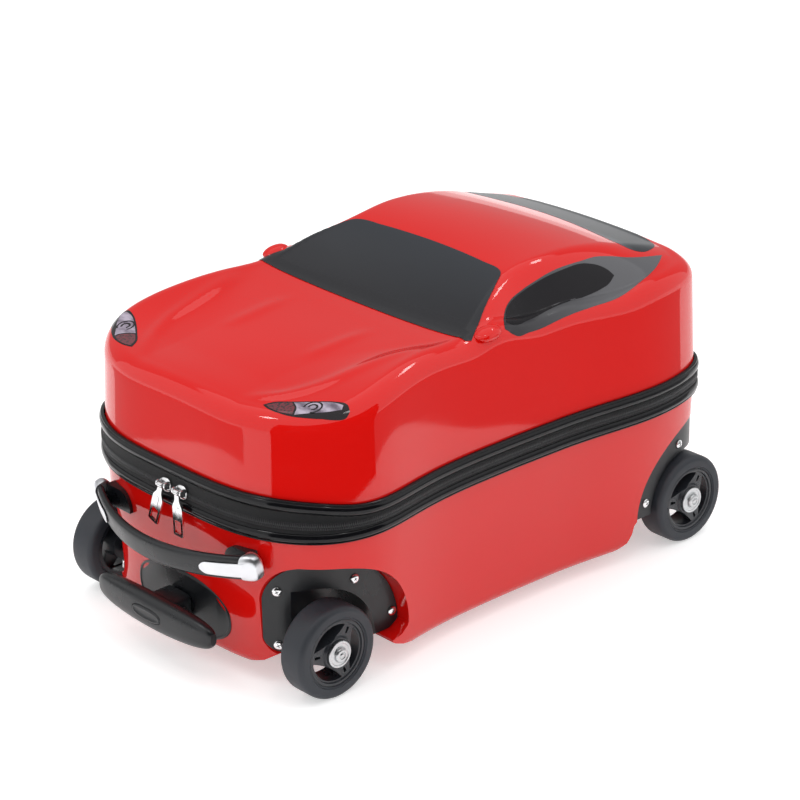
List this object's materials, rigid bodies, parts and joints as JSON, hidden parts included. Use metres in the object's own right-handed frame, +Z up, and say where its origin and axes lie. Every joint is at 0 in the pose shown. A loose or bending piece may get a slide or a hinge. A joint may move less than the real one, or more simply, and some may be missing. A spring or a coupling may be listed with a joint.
{
  "type": "kids hard-shell suitcase",
  "caption": "Glossy hard-shell children's suitcase shaped like a car, with a zipped hinged lid, recessed wheels, a bowed carry handle on the nose and a pull-out trolley handle.",
  "frame": {"origin": "on the floor under the middle of the part's bounding box", "axes": "+Z up; the nose with both handles points along -Y and the lid's hinge is at +Y; +X is the car's left side"},
  "size_m": [0.3068, 0.5065, 0.2768],
  "materials": {
    "red_shell": "high gloss moulded shell",
    "black_piping": "gloss piping",
    "zipper_fabric": "woven tape",
    "black_plastic": "satin",
    "tyre_rubber": "satin rubber",
    "wheel_plastic": "satin",
    "polished_metal": "polished",
    "steel": "brushed",
    "aluminium": "satin"
  },
  "bodies": {
    "base": {"base_shell": "red_shell", "base_piping": "black_piping", "base_zipper_tape": "zipper_fabric", "base_hinge_tape": "zipper_fabric", "trolley_bezel": "black_plastic", "trolley_tube_outer": "aluminium", "carry_handle_mount_left": "black_plastic", "carry_handle_mount_right": "black_plastic", "wheel_housing_front_left": "black_plastic", "axle_bolt_front_left": "steel", "housing_screw_front_left_1": "polished_metal", "housing_screw_front_left_2": "polished_metal", "housing_screw_front_left_3": "polished_metal", "housing_screw_front_left_4": "polished_metal", "wheel_housing_front_right": "black_plastic", "axle_bolt_front_right": "steel", "housing_screw_front_right_1": "polished_metal", "housing_screw_front_right_2": "polished_metal", "housing_screw_front_right_3": "polished_metal", "housing_screw_front_right_4": "polished_metal", "wheel_housing_rear_left": "black_plastic", "axle_bolt_rear_left": "steel", "housing_screw_rear_left_1": "polished_metal", "housing_screw_rear_left_2": "polished_metal", "housing_screw_rear_left_3": "polished_metal", "housing_screw_rear_left_4": "polished_metal", "wheel_housing_rear_right": "black_plastic", "axle_bolt_rear_right": "steel", "housing_screw_rear_right_1": "polished_metal", "housing_screw_rear_right_2": "polished_metal", "housing_screw_rear_right_3": "polished_metal", "housing_screw_rear_right_4": "polished_metal"},
    "lid": {"lid_shell": "red_shell", "lid_piping": "black_piping", "lid_zipper_tape": "zipper_fabric", "lid_hinge_tape": "zipper_fabric"},
    "carry_handle": {"carry_handle_grip": "black_plastic", "carry_handle_cap_left": "polished_metal", "carry_handle_cap_right": "polished_metal"},
    "trolley_middle": {"trolley_tube_middle": "aluminium"},
    "trolley_handle": {"trolley_tube_inner": "aluminium", "trolley_grip": "black_plastic", "trolley_grip_screw": "steel"},
    "trolley_button": {"trolley_button": "black_plastic"},
    "wheel_front_left": {"tyre_front_left": "tyre_rubber", "wheel_hub_front_left": "wheel_plastic", "bearing_front_left": "steel"},
    "wheel_front_right": {"tyre_front_right": "tyre_rubber", "wheel_hub_front_right": "wheel_plastic", "bearing_front_right": "steel"},
    "wheel_rear_left": {"tyre_rear_left": "tyre_rubber", "wheel_hub_rear_left": "wheel_plastic", "bearing_rear_left": "steel"},
    "wheel_rear_right": {"tyre_rear_right": "tyre_rubber", "wheel_hub_rear_right": "wheel_plastic", "bearing_rear_right": "steel"},
    "slider_left": {"zipper_slider_left": "polished_metal"},
    "pull_left": {"zipper_pull_left": "polished_metal"},
    "slider_right": {"zipper_slider_right": "polished_metal"},
    "pull_right": {"zipper_pull_right": "polished_metal"}
  },
  "joints": [
    {"name": "lid_hinge", "type": "hinge", "parent": "base", "child": "lid", "pos_m": [0, 0.2534, 0.1424], "axis": [-1, 0, 0], "range_deg": [0, 110]},
    {"name": "carry_handle_swing", "type": "hinge", "parent": "base", "child": "carry_handle", "pos_m": [0, -0.217, 0.1072], "axis": [-1, 0, 0], "range_deg": [0, 24]},
    {"name": "trolley_middle_slide", "type": "slide", "parent": "base", "child": "trolley_middle", "axis": [0, -1, 0], "range_m": [0, 0.25]},
    {"name": "trolley_handle_slide", "type": "slide", "parent": "trolley_middle", "child": "trolley_handle", "axis": [0, -1, 0], "range_m": [0, 0.25]},
    {"name": "trolley_button_press", "type": "slide", "parent": "trolley_handle", "child": "trolley_button", "axis": [0, 1, 0], "range_m": [0, 0.003], "stiffness_N_per_m": 400, "springref_m": -0.002},
    {"name": "wheel_spin_front_left", "type": "hinge", "parent": "base", "child": "wheel_front_left", "pos_m": [0.1317, -0.1801, 0.038], "axis": [1, 0, 0], "continuous": true},
    {"name": "wheel_spin_front_right", "type": "hinge", "parent": "base", "child": "wheel_front_right", "pos_m": [-0.1317, -0.1801, 0.038], "axis": [1, 0, 0], "continuous": true},
    {"name": "wheel_spin_rear_left", "type": "hinge", "parent": "base", "child": "wheel_rear_left", "pos_m": [0.1317, 0.2131, 0.038], "axis": [1, 0, 0], "continuous": true},
    {"name": "wheel_spin_rear_right", "type": "hinge", "parent": "base", "child": "wheel_rear_right", "pos_m": [-0.1317, 0.2131, 0.038], "axis": [1, 0, 0], "continuous": true},
    {"name": "zipper_slide_left", "type": "slide", "parent": "base", "child": "slider_left", "axis": [1, 0, 0], "range_m": [0, 0.035]},
    {"name": "zipper_pull_swing_left", "type": "hinge", "parent": "slider_left", "child": "pull_left", "pos_m": [0.016, -0.2283, 0.1457], "axis": [-1, 0, 0], "range_deg": [-4, 160]},
    {"name": "zipper_slide_right", "type": "slide", "parent": "base", "child": "slider_right", "axis": [-1, 0, 0], "range_m": [0, 0.05]},
    {"name": "zipper_pull_swing_right", "type": "hinge", "parent": "slider_right", "child": "pull_right", "pos_m": [-0.0036, -0.2283, 0.1457], "axis": [-1, 0, 0], "range_deg": [-4, 160]}
  ]
}
